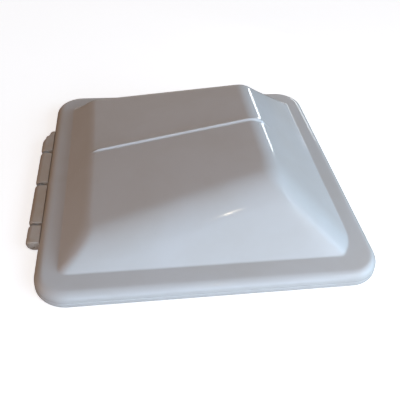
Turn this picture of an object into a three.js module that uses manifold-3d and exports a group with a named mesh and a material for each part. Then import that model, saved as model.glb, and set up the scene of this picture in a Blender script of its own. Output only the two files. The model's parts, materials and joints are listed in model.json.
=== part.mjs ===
// Roof vent cover: a moulded plastic lid that hinges on a steel strap and is pushed open by a
// crank arm, whose nylon shoe slides in a track under the dome.
//
// Millimetres, +Z up. The lid is modelled closed, with its skirt standing on z = 0 and the hinge
// on the -X side. The origin is the centre of the whole part's footprint.

import * as THREE from 'three'
import { mergeVertices } from 'three/addons/utils/BufferGeometryUtils.js'
import Module from 'manifold-3d'

const wasm = await Module()
wasm.setup()

// ---------------------------------------------------------------- driving dimensions

const GAP = 0.3 // left between pieces that touch

// lid, measured from its own centre
const LID_HALF = 201.5 // half of the outside width
const LID_CORNER_R = 40
const WALL = 2.6
const FLANGE_Z = 17.4 // top face of the flange
const BAND_Z = 6.0 // top of the plain band at the foot of the skirt
const BAND_DRAFT = 0.5 // the band leans in by this much
const EDGE_R = 11 // rounded edge between flange and skirt

// dome: four sloping sides and a top that climbs away from the hinge
const BASE_HALF_X = 174
const BASE_HALF_Y = 170
const BASE_RADII = { frontLeft: 12, frontRight: 34, backRight: 22, backLeft: 20 }
const TOP_RADII = { frontLeft: 5, frontRight: 10, backRight: 6, backLeft: 5 }
const TOP_LEFT_X = -142
const TOP_LEFT_Z = 43.5
const TOP_RIGHT_X = 84
const TOP_RIGHT_Z = 86
const FRONT_RUN = 0.95 // horizontal run of the front face per millimetre of height
const BACK_RUN = 0.85
const FOOT_TANGENT = 4 // rounding where the dome meets the flange
const EDGE_TANGENT = { front: 24, right: 9, back: 7, left: 5 } // rounding along the top edges

// raised crease across the top
const CREASE_Y = 14
const CREASE_HEIGHT = 1.8
const CREASE_STEEP = 0.9 // half width of its steep front
const CREASE_SHALLOW = 5 // reach of its shallow back

// hinge along the left side
const PIN_X = -209
const PIN_Z = 8
const PIN_R = 2
const PIN_BORE_R = 2.06
const BARREL_R = 7
const BARRELS = [
  [-117, -88.5],
  [-84, -15],
  [-9, 54],
  [61, 110]
]
const BARREL_SHOULDER = 20 // the rear barrel slants back to the rim over this length
const CAP_R = 3.6
const CAP_DEEP = 3
const STRAP_THICK = 1.5
const STRAP_X = [-200, -168]
const STRAP_Y = [-96, 76]
const STRAP_EAR_R = 5.4
const STRAP_HOLES_Y = [-76, -32, 26, 62]

// foam seal
const SEAL_HALF = 189.5
const SEAL_WIDE = 11
const SEAL_HIGH = 6

// lift track, in its own tilted frame: u along the track, w up to the dome's underside
const TRACK_X = -15
const TRACK_HALF = 80
const TRACK_HALF_WIDE = 11
const TRACK_TALL = 11.7
const TRACK_STEEL = 1.5
const TRACK_SLOT_HALF = 5
const TAB_U = 60
const TAB_V = 18
const BOSS_R = 5
const BOSS_HIGH = 8
const SCREW_R = 1.5
const SCREW_HOLE_R = 1.8
const SCREW_HEAD_R = 3.6
const SCREW_HEAD_HIGH = 2.4
const WASHER_R = 4.4
const WASHER_THICK = 1
const SHOE_HALF = 13
const SHOE_PIN_R = 2
const SHOE_PIN_DROP = 24 // pin axis below the dome's underside

// ---------------------------------------------------------------- materials

const whitePlastic = new THREE.MeshStandardMaterial({ color: 0xd9d6d2, roughness: 0.22, metalness: 0 })
const zincSteel = new THREE.MeshStandardMaterial({ color: 0xa9abad, roughness: 0.4, metalness: 1 })
const brightSteel = new THREE.MeshStandardMaterial({ color: 0xc4c6c8, roughness: 0.25, metalness: 1 })
const greyFoam = new THREE.MeshStandardMaterial({ color: 0x55585b, roughness: 0.95, metalness: 0 })
const nylon = new THREE.MeshStandardMaterial({ color: 0xe4dfcf, roughness: 0.5, metalness: 0 })
const blackPlastic = new THREE.MeshStandardMaterial({ color: 0x202224, roughness: 0.55, metalness: 0 })

// ---------------------------------------------------------------- solids

function toSolid (geometry) {
  const bare = geometry.index ? geometry.toNonIndexed() : geometry.clone()
  bare.deleteAttribute('normal')
  bare.deleteAttribute('uv')
  const merged = mergeVertices(bare, 1e-4)
  return new wasm.Manifold(new wasm.Mesh({
    numProp: 3,
    vertProperties: new Float32Array(merged.attributes.position.array),
    triVerts: new Uint32Array(merged.index.array)
  }))
}

function toGeometry (solid) {
  const mesh = solid.getMesh()
  const geometry = new THREE.BufferGeometry()
  geometry.setAttribute('position', new THREE.BufferAttribute(new Float32Array(mesh.vertProperties), 3))
  geometry.setIndex(new THREE.BufferAttribute(new Uint32Array(mesh.triVerts), 1))
  return geometry
}

function box (low, high) {
  const size = high.map((value, i) => value - low[i])
  const centre = high.map((value, i) => (value + low[i]) / 2)
  return new THREE.BoxGeometry(...size).translate(...centre)
}

// cylinder along Y between two places
function rodY (radius, y0, y1, x = 0, z = 0, segments = 32) {
  return new THREE.CylinderGeometry(radius, radius, y1 - y0, segments).translate(x, (y0 + y1) / 2, z)
}

// cylinder along Z between two heights
function rodZ (radius, z0, z1, x = 0, y = 0, segments = 24) {
  return new THREE.CylinderGeometry(radius, radius, z1 - z0, segments)
    .rotateX(Math.PI / 2)
    .translate(x, y, (z0 + z1) / 2)
}

function piece (name, geometry, material) {
  const mesh = new THREE.Mesh(geometry, material)
  mesh.name = name
  return mesh
}

// ---------------------------------------------------------------- lid surface

// A loop round the lid runs front, right, back, left. Each side has the same number of points
// on every loop: half a corner arc, a straight stretch and half of the next corner arc.
const ARC_STEPS = 3
const STRAIGHT_STEPS = 12
const SIDE_STEPS = STRAIGHT_STEPS + 2 * ARC_STEPS
const LOOP_POINTS = 4 * SIDE_STEPS
const SIDES = ['front', 'right', 'back', 'left']
const CREASE_ROWS = [CREASE_Y - CREASE_STEEP, CREASE_Y + CREASE_STEEP, CREASE_Y + CREASE_SHALLOW]
const ROWS_BEFORE_CREASE = 6

const TOP_SLOPE = (TOP_RIGHT_Z - TOP_LEFT_Z) / (TOP_RIGHT_X - TOP_LEFT_X)

function topHeight (x) {
  return TOP_LEFT_Z + TOP_SLOPE * (x - TOP_LEFT_X)
}

function even (steps) {
  return Array.from({ length: steps + 1 }, (_, i) => i / steps)
}

// fractions along a side that runs from y0 to y1, with rows that follow the crease
function creaseFractions (y0, y1) {
  const [near, crest, far] = CREASE_ROWS.map(y => (y - y0) / (y1 - y0))
  const before = even(ROWS_BEFORE_CREASE).map(f => f * near)
  const rowsAfter = STRAIGHT_STEPS - ROWS_BEFORE_CREASE - 2
  const after = even(rowsAfter).map(f => far + f * (1 - far))
  return [...before, crest, ...after]
}

// half a corner arc and its tangent points, where the loop turns left from one side to the next
function cornerArc (corner, before, after, radius) {
  const into = corner.clone().sub(before).normalize()
  const out = after.clone().sub(corner).normalize()
  const turn = Math.acos(THREE.MathUtils.clamp(into.dot(out), -1, 1))
  const start = corner.clone().addScaledVector(into, -radius * Math.tan(turn / 2))
  const left = new THREE.Vector2(-into.y, into.x)
  const centre = start.clone().addScaledVector(left, radius)
  return fraction => start.clone().rotateAround(centre, turn * fraction)
}

// rounded four-sided loop; corners and radii run frontLeft, frontRight, backRight, backLeft
function loop (corners, radii, fractions) {
  const arcs = corners.map((corner, i) => (
    cornerArc(corner, corners[(i + 3) % 4], corners[(i + 1) % 4], radii[i])
  ))
  const points = []
  for (let side = 0; side < 4; side++) {
    const first = arcs[side]
    const second = arcs[(side + 1) % 4]
    for (let i = 0; i < ARC_STEPS; i++) points.push(first(0.5 + 0.5 * i / ARC_STEPS))
    for (const f of fractions[side]) points.push(first(1).lerp(second(0), f))
    for (let i = 1; i < ARC_STEPS; i++) points.push(second(0.5 * i / ARC_STEPS))
  }
  return points
}

function rectangle (halfX, halfY) {
  return [[-1, -1], [1, -1], [1, 1], [-1, 1]].map(([x, y]) => new THREE.Vector2(x * halfX, y * halfY))
}

function topCorners (inset) {
  const corner = (x, z, sign, run) => (
    new THREE.Vector2(x, sign * (BASE_HALF_Y - run * (z - FLANGE_Z) - inset))
  )
  const left = TOP_LEFT_X + inset
  const right = TOP_RIGHT_X - inset
  return [
    corner(left, TOP_LEFT_Z, -1, FRONT_RUN),
    corner(right, TOP_RIGHT_Z, -1, FRONT_RUN),
    corner(right, TOP_RIGHT_Z, 1, BACK_RUN),
    corner(left, TOP_LEFT_Z, 1, BACK_RUN)
  ]
}

function lidFractions () {
  const [frontLeft, frontRight, backRight, backLeft] = topCorners(0)
  const straight = even(STRAIGHT_STEPS)
  const right = creaseFractions(frontRight.y, backRight.y)
  const left = creaseFractions(frontLeft.y, backLeft.y).map(f => 1 - f).reverse()
  return [straight, right, straight, left]
}

const FRACTIONS = lidFractions()

function radiusList (radii) {
  return [radii.frontLeft, radii.frontRight, radii.backRight, radii.backLeft]
}

function flatLoop (corners, radii, z) {
  return loop(corners, radii, FRACTIONS).map(p => new THREE.Vector3(p.x, p.y, z))
}

function skirtLoop (inset, z) {
  const half = LID_HALF - inset
  return flatLoop(rectangle(half, half), Array(4).fill(LID_CORNER_R - inset), z)
}

function topLoop (inset, radii) {
  return loop(topCorners(inset), radii, FRACTIONS).map(p => new THREE.Vector3(p.x, p.y, topHeight(p.x)))
}

// share of the corner's rounding that a point takes, by its steps from the middle of the corner
function cornerShare (steps) {
  if (steps <= ARC_STEPS) return 1
  return steps === ARC_STEPS + 1 ? 0.3 : 0
}

// rounding length along the top edge: each side's own, and the wider of the two at a corner
function edgeTangent (index) {
  const side = Math.floor(index / SIDE_STEPS)
  const step = index % SIDE_STEPS
  const own = EDGE_TANGENT[SIDES[side]]
  const atStart = Math.max(own, EDGE_TANGENT[SIDES[(side + 3) % 4]])
  const atEnd = Math.max(own, EDGE_TANGENT[SIDES[(side + 1) % 4]])
  const fromStart = THREE.MathUtils.lerp(own, atStart, cornerShare(step))
  return THREE.MathUtils.lerp(fromStart, atEnd, cornerShare(SIDE_STEPS - step))
}

// points along a rounded bend at the middle of three places
function bend (from, corner, to, tangent, steps) {
  const start = corner.clone().add(from.clone().sub(corner).setLength(tangent))
  const end = corner.clone().add(to.clone().sub(corner).setLength(tangent))
  return new THREE.QuadraticBezierCurve3(start, corner, end).getPoints(steps)
}

function lidLoops () {
  const loops = [
    skirtLoop(0, 0),
    skirtLoop(BAND_DRAFT, BAND_Z - 0.4),
    skirtLoop(BAND_DRAFT + 0.4, BAND_Z),
    skirtLoop(BAND_DRAFT, BAND_Z + 0.6)
  ]
  const arcSteps = 5
  const edgeLow = FLANGE_Z - EDGE_R
  for (let i = 1; i <= arcSteps; i++) {
    const angle = (Math.PI / 2) * i / arcSteps
    const inset = BAND_DRAFT + EDGE_R * (1 - Math.cos(angle))
    loops.push(skirtLoop(inset, edgeLow + EDGE_R * Math.sin(angle)))
  }
  const flange = loops.at(-1)
  const foot = flatLoop(rectangle(BASE_HALF_X, BASE_HALF_Y), radiusList(BASE_RADII), FLANGE_Z)
  const edge = topLoop(0, radiusList(TOP_RADII))
  const inner = topLoop(45, [3, 3, 3, 3])
  const footBends = foot.map((p, i) => bend(flange[i], p, edge[i], FOOT_TANGENT, 3))
  const edgeBends = edge.map((p, i) => bend(foot[i], p, inner[i], edgeTangent(i), 5))
  for (let row = 0; row < footBends[0].length; row++) loops.push(footBends.map(bends => bends[row]))
  for (let row = 0; row < edgeBends[0].length; row++) loops.push(edgeBends.map(bends => bends[row]))
  return loops
}

// height of the crease above the plain top, fading out towards its two ends
function creaseLift (row, column) {
  const crestRow = ARC_STEPS + ROWS_BEFORE_CREASE + 1
  const inside = column > 1 && column < SIDE_STEPS - 1
  return row === crestRow && inside ? CREASE_HEIGHT : 0
}

// vertices inside the innermost loop, as a grid whose border is that loop
function topGrid (border) {
  const n = SIDE_STEPS
  const front = i => border[i]
  const right = i => border[n + i]
  const back = i => border[3 * n - i]
  const left = i => border[(4 * n - i) % (4 * n)]
  const grid = []
  for (let row = 0; row <= n; row++) {
    const line = []
    for (let column = 0; column <= n; column++) {
      const u = column / n
      const v = (left(row).y - left(0).y) / (left(n).y - left(0).y)
      const across = left(row).clone().lerp(right(row), u)
      const along = front(column).clone().lerp(back(column), v)
      const lowCorners = left(0).clone().lerp(right(0), u)
      const highCorners = left(n).clone().lerp(right(n), u)
      const p = across.add(along).sub(lowCorners.lerp(highCorners, v))
      p.z = topHeight(p.x) + creaseLift(row, column)
      line.push(p)
    }
    grid.push(line)
  }
  return grid
}

// one skin of the lid: its vertices and triangles, and the loop it ends on
function lidSkin () {
  const loops = lidLoops()
  const vertices = loops.flat()
  const triangles = []
  const quad = (a, b, c, d) => triangles.push([a, b, c], [a, c, d])
  for (let ring = 0; ring + 1 < loops.length; ring++) {
    for (let i = 0; i < LOOP_POINTS; i++) {
      const next = (i + 1) % LOOP_POINTS
      const low = ring * LOOP_POINTS
      const high = low + LOOP_POINTS
      quad(low + i, low + next, high + next, high + i)
    }
  }
  const n = SIDE_STEPS
  const last = (loops.length - 1) * LOOP_POINTS
  const grid = topGrid(loops.at(-1))
  const index = (row, column) => {
    if (row === 0) return last + column
    if (column === n) return last + n + row
    if (row === n) return last + 3 * n - column
    if (column === 0) return last + 4 * n - row
    return loops.length * LOOP_POINTS + (row - 1) * (n - 1) + column - 1
  }
  for (let row = 1; row < n; row++) vertices.push(...grid[row].slice(1, n))
  for (let row = 0; row < n; row++) {
    for (let column = 0; column < n; column++) {
      quad(index(row, column), index(row, column + 1), index(row + 1, column + 1), index(row + 1, column))
    }
  }
  return { vertices, triangles }
}

// the skin and its copy one wall thickness inside, closed along the foot of the skirt
function lidShell () {
  const { vertices, triangles } = lidSkin()
  const normals = vertices.map(() => new THREE.Vector3())
  const triangle = new THREE.Triangle()
  const facing = new THREE.Vector3()
  for (const [a, b, c] of triangles) {
    triangle.set(vertices[a], vertices[b], vertices[c])
    triangle.getNormal(facing).multiplyScalar(triangle.getArea())
    for (const corner of [a, b, c]) normals[corner].add(facing)
  }
  const inside = vertices.map((p, i) => {
    const normal = i < LOOP_POINTS ? normals[i].setZ(0) : normals[i]
    return p.clone().addScaledVector(normal.normalize(), -WALL)
  })
  const shift = vertices.length
  const faces = [...triangles, ...triangles.map(([a, b, c]) => [shift + a, shift + c, shift + b])]
  for (let i = 0; i < LOOP_POINTS; i++) {
    const next = (i + 1) % LOOP_POINTS
    faces.push([next, i, shift + i], [next, shift + i, shift + next])
  }
  const geometry = new THREE.BufferGeometry()
  geometry.setFromPoints([...vertices, ...inside])
  geometry.setIndex(faces.flat())
  return toSolid(geometry)
}

// ---------------------------------------------------------------- lid with its barrels and bosses

// one moulded hinge barrel: a round section with a web to the rim, trimmed to its plan outline
function barrel ([y0, y1], shoulder) {
  const reach = BARREL_R + 1
  const section = toSolid(rodY(BARREL_R, y0, y1, PIN_X, PIN_Z))
    .add(toSolid(box([PIN_X, y0, PIN_Z - 3], [PIN_X + 11.5, y1, PIN_Z + BARREL_R - 0.4])))
  const outline = new THREE.Shape()
  const nearRound = 6
  const farRound = shoulder ? 0 : 1.5
  const outer = PIN_X - BARREL_R
  outline.moveTo(PIN_X + 12, y0)
  outline.lineTo(outer + nearRound, y0)
  outline.absarc(outer + nearRound, y0 + nearRound, nearRound, -Math.PI / 2, -Math.PI, true)
  outline.lineTo(outer, y1 - shoulder - farRound)
  if (shoulder) {
    outline.lineTo(outer + BARREL_R + 3, y1)
  } else {
    outline.absarc(outer + farRound, y1 - farRound, farRound, Math.PI, Math.PI / 2, true)
  }
  outline.lineTo(PIN_X + 12, y1)
  const trim = new THREE.ExtrudeGeometry(outline, { depth: 2 * reach, bevelEnabled: false, curveSegments: 6 })
    .translate(0, 0, PIN_Z - reach)
  return section.intersect(toSolid(trim))
}

const TRACK_TILT = Math.atan(TOP_SLOPE)

// the track's frame: its origin lies on the dome's underside
function inTrackFrame (geometry) {
  const z = topHeight(TRACK_X) - WALL / Math.cos(TRACK_TILT)
  return geometry.rotateY(-TRACK_TILT).translate(TRACK_X, 0, z)
}

const TAB_PLACES = [[-1, -1], [1, -1], [1, 1], [-1, 1]].map(([u, v]) => [u * TAB_U, v * TAB_V])

function lidShellPiece () {
  let lid = lidShell()
  BARRELS.forEach((span, i) => {
    lid = lid.add(barrel(span, i === BARRELS.length - 1 ? BARREL_SHOULDER : 0))
  })
  for (const [u, v] of TAB_PLACES) {
    lid = lid.add(toSolid(inTrackFrame(rodZ(BOSS_R, -BOSS_HIGH, 1, u, v))))
    lid = lid.subtract(toSolid(inTrackFrame(rodZ(SCREW_HOLE_R, -BOSS_HIGH - 1, -2, u, v))))
  }
  const front = BARRELS[0][0]
  const rear = BARRELS.at(-1)[1]
  const shoulderEnd = rear - BARREL_SHOULDER / 2
  lid = lid.subtract(toSolid(rodY(PIN_BORE_R, front - 1, shoulderEnd, PIN_X, PIN_Z)))
  lid = lid.subtract(toSolid(rodY(CAP_R + GAP, front - 1, front + CAP_DEEP + GAP, PIN_X, PIN_Z)))
  lid = lid.subtract(toSolid(rodY(CAP_R + GAP, shoulderEnd - CAP_DEEP, rear + 1, PIN_X, PIN_Z)))
  const notchLow = [STRAP_X[0] - 4, STRAP_Y[0] - 1, -1]
  const notchHigh = [STRAP_X[0] + 4, STRAP_Y[1] + 1, STRAP_THICK + 0.6]
  lid = lid.subtract(toSolid(box(notchLow, notchHigh)))
  return piece('lid_shell', toGeometry(lid), whitePlastic)
}

// ---------------------------------------------------------------- hinge

function hingePin () {
  const start = BARRELS[0][0] + CAP_DEEP + 2 * GAP
  const end = BARRELS.at(-1)[1] - BARREL_SHOULDER / 2 - CAP_DEEP - GAP
  return piece('hinge_pin', rodY(PIN_R, start, end, PIN_X, PIN_Z), brightSteel)
}

// round plug that closes the pin's bore
function pinCap (name, y0) {
  const chamfer = 0.6
  const profile = [
    [0, 0], [CAP_R - chamfer, 0], [CAP_R, chamfer], [CAP_R, CAP_DEEP - chamfer],
    [CAP_R - chamfer, CAP_DEEP], [0, CAP_DEEP]
  ]
  const points = profile.map(([r, y]) => new THREE.Vector2(r, y))
  return piece(name, new THREE.LatheGeometry(points, 24).translate(PIN_X, y0, PIN_Z), whitePlastic)
}

// the ears that stand between the barrels and carry the pin
function hingeStrap () {
  const leaf = [STRAP_X[0], STRAP_Y[0], 0]
  let strap = toSolid(box(leaf, [STRAP_X[1], STRAP_Y[1], STRAP_THICK]))
  for (let i = 0; i + 1 < BARRELS.length; i++) {
    const y0 = BARRELS[i][1] + GAP
    const y1 = BARRELS[i + 1][0] - GAP
    const arm = box([PIN_X - 3, y0, 0], [STRAP_X[0] + 1, y1, STRAP_THICK])
    const post = box([PIN_X - 3, y0, 0], [PIN_X + 3, y1, PIN_Z])
    strap = strap.add(toSolid(arm)).add(toSolid(post)).add(toSolid(rodY(STRAP_EAR_R, y0, y1, PIN_X, PIN_Z)))
  }
  strap = strap.subtract(toSolid(rodY(PIN_BORE_R, STRAP_Y[0], STRAP_Y[1], PIN_X, PIN_Z)))
  const holeX = (STRAP_X[0] + STRAP_X[1]) / 2
  for (const y of STRAP_HOLES_Y) {
    strap = strap.subtract(toSolid(rodZ(2.4, -1, STRAP_THICK + 1, holeX, y)))
  }
  return piece('hinge_strap', toGeometry(strap), zincSteel)
}

// ---------------------------------------------------------------- seal

function roundedSquare (half, radius) {
  const outline = new THREE.Path()
  outline.absarc(half - radius, half - radius, radius, 0, Math.PI / 2)
  outline.absarc(-half + radius, half - radius, radius, Math.PI / 2, Math.PI)
  outline.absarc(-half + radius, -half + radius, radius, Math.PI, 1.5 * Math.PI)
  outline.absarc(half - radius, -half + radius, radius, 1.5 * Math.PI, 2 * Math.PI)
  return outline
}

function rimSeal () {
  const outer = LID_CORNER_R - (LID_HALF - SEAL_HALF)
  const shape = new THREE.Shape(roundedSquare(SEAL_HALF, outer).getPoints(8))
  shape.holes.push(roundedSquare(SEAL_HALF - SEAL_WIDE, outer - SEAL_WIDE))
  const ring = new THREE.ExtrudeGeometry(shape, { depth: SEAL_HIGH, bevelEnabled: false, curveSegments: 8 })
  const low = FLANGE_Z - WALL - GAP - SEAL_HIGH
  return piece('rim_seal', ring.translate(0, 0, low), greyFoam)
}

// ---------------------------------------------------------------- lift track

const TRACK_TOP = -BOSS_HIGH - GAP
const TRACK_LOW = TRACK_TOP - TRACK_TALL
const TAB_LOW = TRACK_TOP - TRACK_STEEL

function alongTrack (points, half) {
  const shape = new THREE.Shape(points.map(([v, w]) => new THREE.Vector2(v, w)))
  return new THREE.ExtrudeGeometry(shape, { depth: 2 * half, bevelEnabled: false })
    .rotateX(Math.PI / 2)
    .rotateZ(Math.PI / 2)
    .translate(-half, 0, 0)
}

function liftTrack () {
  const w = TRACK_HALF_WIDE
  const t = TRACK_STEEL
  const s = TRACK_SLOT_HALF
  const section = [
    [-w, TRACK_TOP], [-w, TRACK_LOW], [-s, TRACK_LOW], [-s, TRACK_LOW + t], [-w + t, TRACK_LOW + t],
    [-w + t, TAB_LOW], [w - t, TAB_LOW], [w - t, TRACK_LOW + t], [s, TRACK_LOW + t], [s, TRACK_LOW],
    [w, TRACK_LOW], [w, TRACK_TOP]
  ]
  let track = toSolid(alongTrack(section, TRACK_HALF))
  for (const [u, v] of TAB_PLACES) {
    const inner = Math.sign(v) * (w - t)
    const outer = Math.sign(v) * (TAB_V + 7)
    const low = [u - 8, Math.min(inner, outer), TAB_LOW]
    track = track.add(toSolid(box(low, [u + 8, Math.max(inner, outer), TRACK_TOP])))
    track = track.subtract(toSolid(rodZ(2, TAB_LOW - 1, TRACK_TOP + 1, u, v)))
  }
  return piece('lift_track', inTrackFrame(toGeometry(track)), zincSteel)
}

function trackFastener (number, [u, v]) {
  const washerTop = TAB_LOW - GAP
  const headTop = washerTop - WASHER_THICK - GAP
  const washer = toSolid(rodZ(WASHER_R, washerTop - WASHER_THICK, washerTop, u, v))
    .subtract(toSolid(rodZ(2, washerTop - 3, washerTop + 1, u, v)))
  const headLow = headTop - SCREW_HEAD_HIGH
  const profile = [
    [0, headLow], [SCREW_HEAD_R - 1, headLow], [SCREW_HEAD_R, headLow + 1], [SCREW_HEAD_R, headTop],
    [SCREW_R, headTop], [SCREW_R, -4], [0, -2.6]
  ]
  const screw = new THREE.LatheGeometry(profile.map(([r, w]) => new THREE.Vector2(r, w)), 24)
    .rotateX(Math.PI / 2)
    .translate(u, v, 0)
  return [
    piece(`track_washer_${number}`, inTrackFrame(toGeometry(washer)), brightSteel),
    piece(`track_screw_${number}`, inTrackFrame(screw), brightSteel)
  ]
}

// plug in each end of the track that keeps the shoe in
function trackStop (name, side) {
  const inner = TRACK_HALF_WIDE - TRACK_STEEL - GAP
  const plugLow = TRACK_LOW + TRACK_STEEL + GAP
  const plugTop = TAB_LOW - GAP
  const span = [side * (TRACK_HALF - 4), side * (TRACK_HALF + 1)].sort((a, b) => a - b)
  const face = [side * (TRACK_HALF + GAP), side * (TRACK_HALF + 2)].sort((a, b) => a - b)
  const plug = toSolid(box([span[0], -inner, plugLow], [span[1], inner, plugTop]))
    .add(toSolid(box([face[0], -TRACK_HALF_WIDE, TRACK_LOW], [face[1], TRACK_HALF_WIDE, TRACK_TOP])))
  return piece(name, inTrackFrame(toGeometry(plug)), blackPlastic)
}

// ---------------------------------------------------------------- sliding shoe

const NECK_HALF = 4.6
const NECK_LOW = -SHOE_PIN_DROP - 4.5

function slideShoe () {
  const inner = TRACK_HALF_WIDE - TRACK_STEEL - GAP
  const blockLow = TRACK_LOW + TRACK_STEEL + GAP
  const blockTop = TAB_LOW - GAP
  const shoe = toSolid(box([-SHOE_HALF, -inner, blockLow], [SHOE_HALF, inner, blockTop]))
    .add(toSolid(box([-7, -NECK_HALF, -SHOE_PIN_DROP], [7, NECK_HALF, blockLow + 1])))
    .add(toSolid(rodY(-NECK_LOW - SHOE_PIN_DROP + 2.5, -NECK_HALF, NECK_HALF, 0, -SHOE_PIN_DROP)))
    .subtract(toSolid(rodY(SHOE_PIN_R + 0.1, -20, 20, 0, -SHOE_PIN_DROP)))
  return piece('slide_shoe', inTrackFrame(toGeometry(shoe)), nylon)
}

function shoePin () {
  const profile = [
    [0, -14], [2.8, -14], [3.5, -13.3], [3.5, -12], [SHOE_PIN_R, -12], [SHOE_PIN_R, 10], [1.4, 10],
    [1.4, 11.4], [SHOE_PIN_R, 11.4], [SHOE_PIN_R, 12.6], [1.4, 13.2], [0, 13.2]
  ]
  const pin = new THREE.LatheGeometry(profile.map(([r, v]) => new THREE.Vector2(r, v)), 24)
  return piece('shoe_pin', inTrackFrame(pin.translate(0, 0, -SHOE_PIN_DROP)), brightSteel)
}

// open snap ring in the pin's groove
function shoeClip () {
  const open = Math.PI / 5
  const outer = 3.5 // leaves the clip clear of the track above it
  const shape = new THREE.Shape()
  shape.absarc(0, 0, outer, open, 2 * Math.PI - open)
  shape.absarc(0, 0, 1.7, 2 * Math.PI - open, open, true)
  const ring = new THREE.ExtrudeGeometry(shape, { depth: 0.8, bevelEnabled: false, curveSegments: 16 })
    .rotateX(Math.PI / 2)
    .translate(0, 11.1, -SHOE_PIN_DROP)
  return piece('shoe_clip', inTrackFrame(ring), brightSteel)
}

// ---------------------------------------------------------------- assembly

const FOOTPRINT_MIDDLE_X = (LID_HALF + PIN_X - BARREL_R) / 2

const part = new THREE.Group()
part.add(lidShellPiece())
part.add(hingePin())
part.add(pinCap('pin_cap_front', BARRELS[0][0]))
part.add(pinCap('pin_cap_back', BARRELS.at(-1)[1] - BARREL_SHOULDER / 2 - CAP_DEEP + GAP))
part.add(hingeStrap())
part.add(rimSeal())
part.add(liftTrack())
TAB_PLACES.forEach((place, i) => part.add(...trackFastener(i + 1, place)))
part.add(trackStop('track_stop_low', -1))
part.add(trackStop('track_stop_high', 1))
part.add(slideShoe())
part.add(shoePin())
part.add(shoeClip())
part.position.x = -FOOTPRINT_MIDDLE_X

export default part
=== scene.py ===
"""Looks of the roof vent cover: a moulded lid with its hinge strap, foam seal and lift track.

Lengths below are millimetres in the lid's own frame, whose origin is the middle of the lid, and
to_frame() turns them into metres in the CAD frame.
"""

import json
import math

import bmesh
import bpy
import numpy as np
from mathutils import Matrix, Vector


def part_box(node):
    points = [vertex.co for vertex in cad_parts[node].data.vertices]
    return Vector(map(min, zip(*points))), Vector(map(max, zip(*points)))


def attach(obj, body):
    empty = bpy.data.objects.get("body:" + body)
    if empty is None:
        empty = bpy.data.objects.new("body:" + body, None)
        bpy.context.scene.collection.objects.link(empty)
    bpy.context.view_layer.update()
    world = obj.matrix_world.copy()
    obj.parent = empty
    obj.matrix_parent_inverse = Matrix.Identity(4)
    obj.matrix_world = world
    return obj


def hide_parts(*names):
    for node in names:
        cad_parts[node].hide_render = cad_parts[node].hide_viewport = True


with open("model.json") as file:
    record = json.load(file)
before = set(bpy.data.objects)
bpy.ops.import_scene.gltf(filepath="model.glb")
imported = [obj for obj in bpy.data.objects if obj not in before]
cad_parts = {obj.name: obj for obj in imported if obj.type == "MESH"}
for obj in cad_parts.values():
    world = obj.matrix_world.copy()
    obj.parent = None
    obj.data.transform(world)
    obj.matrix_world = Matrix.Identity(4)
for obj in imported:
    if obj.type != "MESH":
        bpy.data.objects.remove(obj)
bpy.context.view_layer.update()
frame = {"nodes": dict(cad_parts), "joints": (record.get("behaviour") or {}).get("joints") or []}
NODES = frame["nodes"]
MM = 0.001

# ------------------------------------------------------------------------------------- camera

# Fitted by a separate program to the lid's outline in the photo, then adjusted by hand.
CAMERA_PLACE = (-0.0748, -0.5156, 0.4518)
CAMERA_TURN = (46.63, -2.96, -7.34)  # degrees
CAMERA_LENS = 43.66


def make_camera():
    data = bpy.data.cameras.new("camera")
    data.sensor_width = 36
    data.lens = CAMERA_LENS
    data.clip_start = 0.01
    camera = bpy.data.objects.new("camera", data)
    camera.location = CAMERA_PLACE
    camera.rotation_euler = [math.radians(a) for a in CAMERA_TURN]
    bpy.context.scene.collection.objects.link(camera)
    bpy.context.scene.camera = camera


make_camera()

# ------------------------------------------------------------------------------------- lid shape

LID_HALF = 201.5
LID_CORNER_R = 40
WALL = 2.6
FLANGE_Z = 17.4
EDGE_R = 11  # rounding between skirt and flange
EDGE_INSET = 0.5  # how far the skirt leans in below that rounding
BASE_HALF_X = 174
BASE_HALF_Y = 170
BASE_RADII = (12, 34, 22, 20)  # front left, front right, back right, back left
TOP_LEFT_X, TOP_LEFT_Z = -142, 43.5
TOP_RIGHT_X, TOP_RIGHT_Z = 84, 88
FRONT_RUN, BACK_RUN = 0.95, 0.83  # how far each face runs in for each millimetre of height
LEFT_RUN = (BASE_HALF_X + TOP_LEFT_X) / (TOP_LEFT_Z - FLANGE_Z)
RIGHT_RUN = (BASE_HALF_X - TOP_RIGHT_X) / (TOP_RIGHT_Z - FLANGE_Z)
TOP_SLOPE = (TOP_RIGHT_Z - TOP_LEFT_Z) / (TOP_RIGHT_X - TOP_LEFT_X)
CROWN = 1.2
CROWN_DROP = 0.4
CROWN_REACH = 140
# Where two faces meet, they blend once their heights differ by less than this.
FRONT_ROLL = 25
LEFT_BLEND = (4, 10)  # along the top edge, at the front hip
RIGHT_BLEND = (13, 1.6)  # along the top edge, at the front hip
BACK_BLEND = (8, 19)  # along the top edge, at the two back hips
FOOT_BLEND = 1.2
HIP_CUT = 6.5  # how far below the front and right faces' corner its own narrow face lies
HIP_BLEND = 17
CREASE_Y = 14
CREASE_HIGH = 3.2
CREASE_SKEW = 0.018
CREASE_SKEW_FROM = -60  # where along X the skewed crease lies at CREASE_Y
CREASE_FRONT = (-1.2, -0.1)  # its steep front, from CREASE_Y
CREASE_BACK = 5.2  # where its shallow back ends
CREASE_ROUNDING = 0.3

LID_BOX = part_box("lid_shell")
SHIFT_X = LID_BOX[1].x - LID_HALF * MM


def to_frame(points):
    """Millimetres in the lid's frame to metres in the CAD frame."""
    points = np.asarray(points, float) * MM
    points[..., 0] += SHIFT_X
    return points


def smooth_min(a, b, k):
    spare = np.maximum(k - np.abs(a - b), 0)
    return np.minimum(a, b) - spare * spare / (4 * k)


def smooth_step(x, low, high):
    t = np.clip((x - low) / (high - low), 0, 1)
    return t * t * (3 - 2 * t)


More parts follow.
